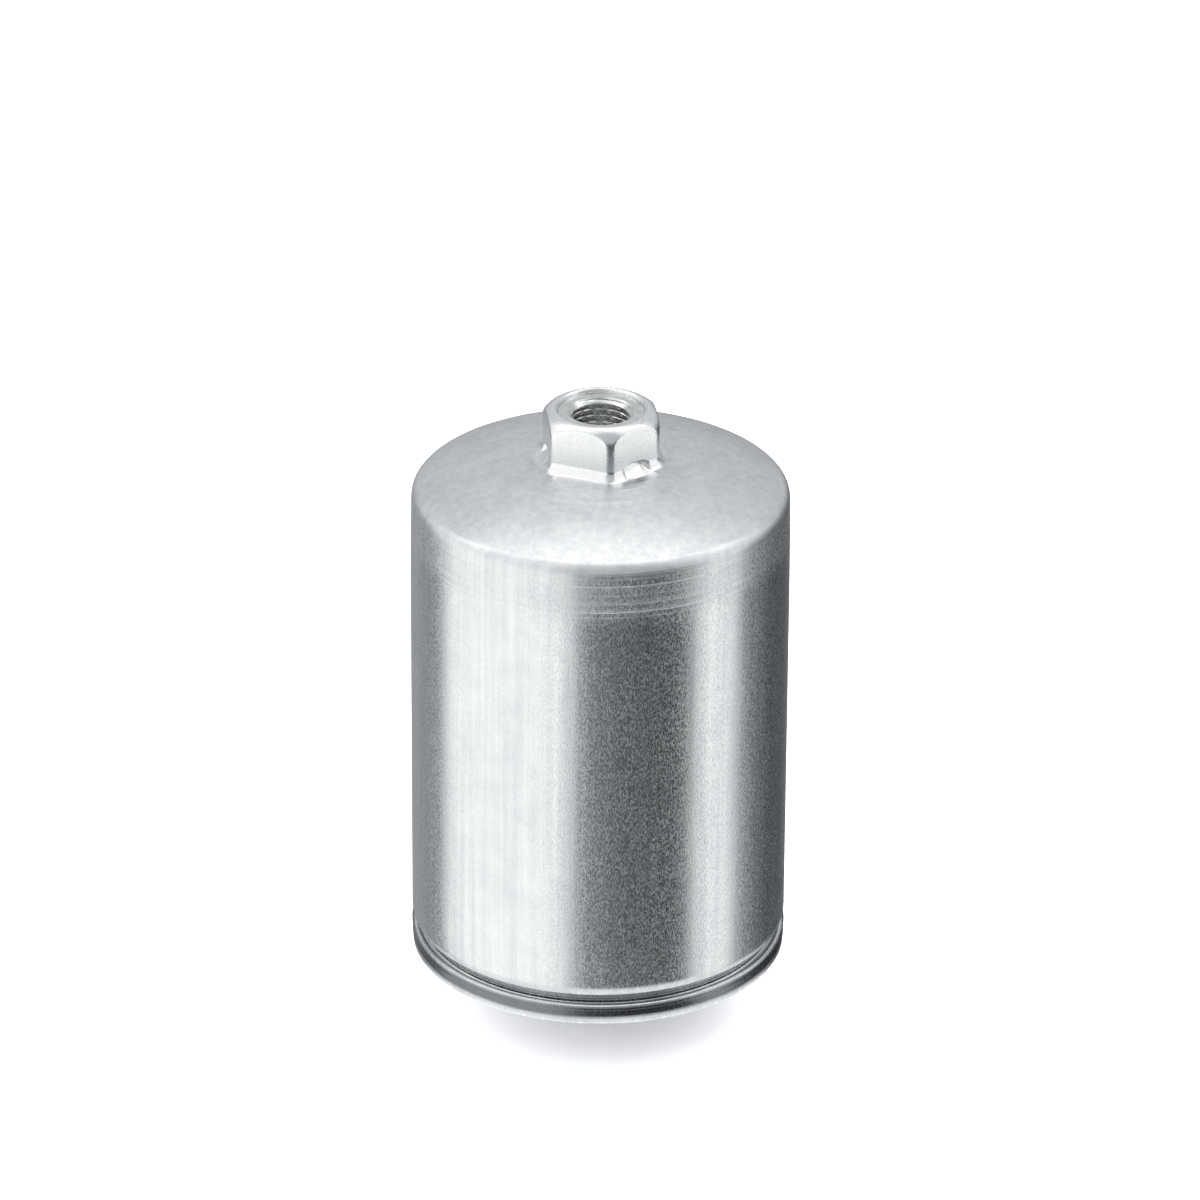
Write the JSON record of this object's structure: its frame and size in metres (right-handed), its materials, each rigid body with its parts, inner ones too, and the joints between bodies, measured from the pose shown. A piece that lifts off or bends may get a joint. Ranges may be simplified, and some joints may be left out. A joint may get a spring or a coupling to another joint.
{
  "type": "fuel filter",
  "caption": "Inline metal-canned fuel filter: a domed steel can with a rolled seam, a threaded hexagonal port on each end and a spring-loaded pleated element.",
  "frame": {"origin": "on the filter's axis, at the lip of the lower (inlet) boss that it stands on", "axes": "+Z along the axis from the inlet to the outlet; a corner of the outlet's hexagon points along -Y"},
  "size_m": [0.0832, 0.0832, 0.147],
  "materials": {
    "can_steel": "tin-plated deep-drawn sheet, satin with fine vertical draw lines",
    "cover_steel": "tin-plated pressed sheet, satin, burnished at the curled seam",
    "bush_steel": "turned and zinc-plated bar",
    "cage_steel": "tinplate, semi-bright",
    "spring_steel": "drawn spring wire, dark and oiled",
    "gauze_brass": "woven wire",
    "seal_rubber": "moulded nitrile rubber, matt",
    "filter_paper": "resin-impregnated filter paper",
    "adhesive": "cured plastisol adhesive"
  },
  "bodies": {
    "housing": {"housing_can": "can_steel", "end_cover": "cover_steel", "seam_gasket": "seal_rubber", "outlet_bush": "bush_steel", "outlet_bush_seal": "seal_rubber", "inlet_bush": "bush_steel", "inlet_bush_seal": "seal_rubber", "strainer_gauze": "gauze_brass", "strainer_ring": "cage_steel", "element_spring": "spring_steel", "support_plate": "cage_steel"},
    "element": {"upper_end_cap": "cage_steel", "upper_adhesive": "adhesive", "outlet_grommet": "seal_rubber", "filter_paper": "filter_paper", "pleat_clip": "cage_steel", "core_tube": "cage_steel", "lower_adhesive": "adhesive", "lower_end_cap": "cage_steel", "spring_star": "cage_steel"}
  },
  "joints": [
    {"name": "element_slide", "type": "slide", "parent": "housing", "child": "element", "axis": [0, 0, -1], "range_m": [0, 0.0025], "stiffness_N_per_m": 1300, "springref_m": -0.011, "deforming": ["element_spring"]}
  ]
}
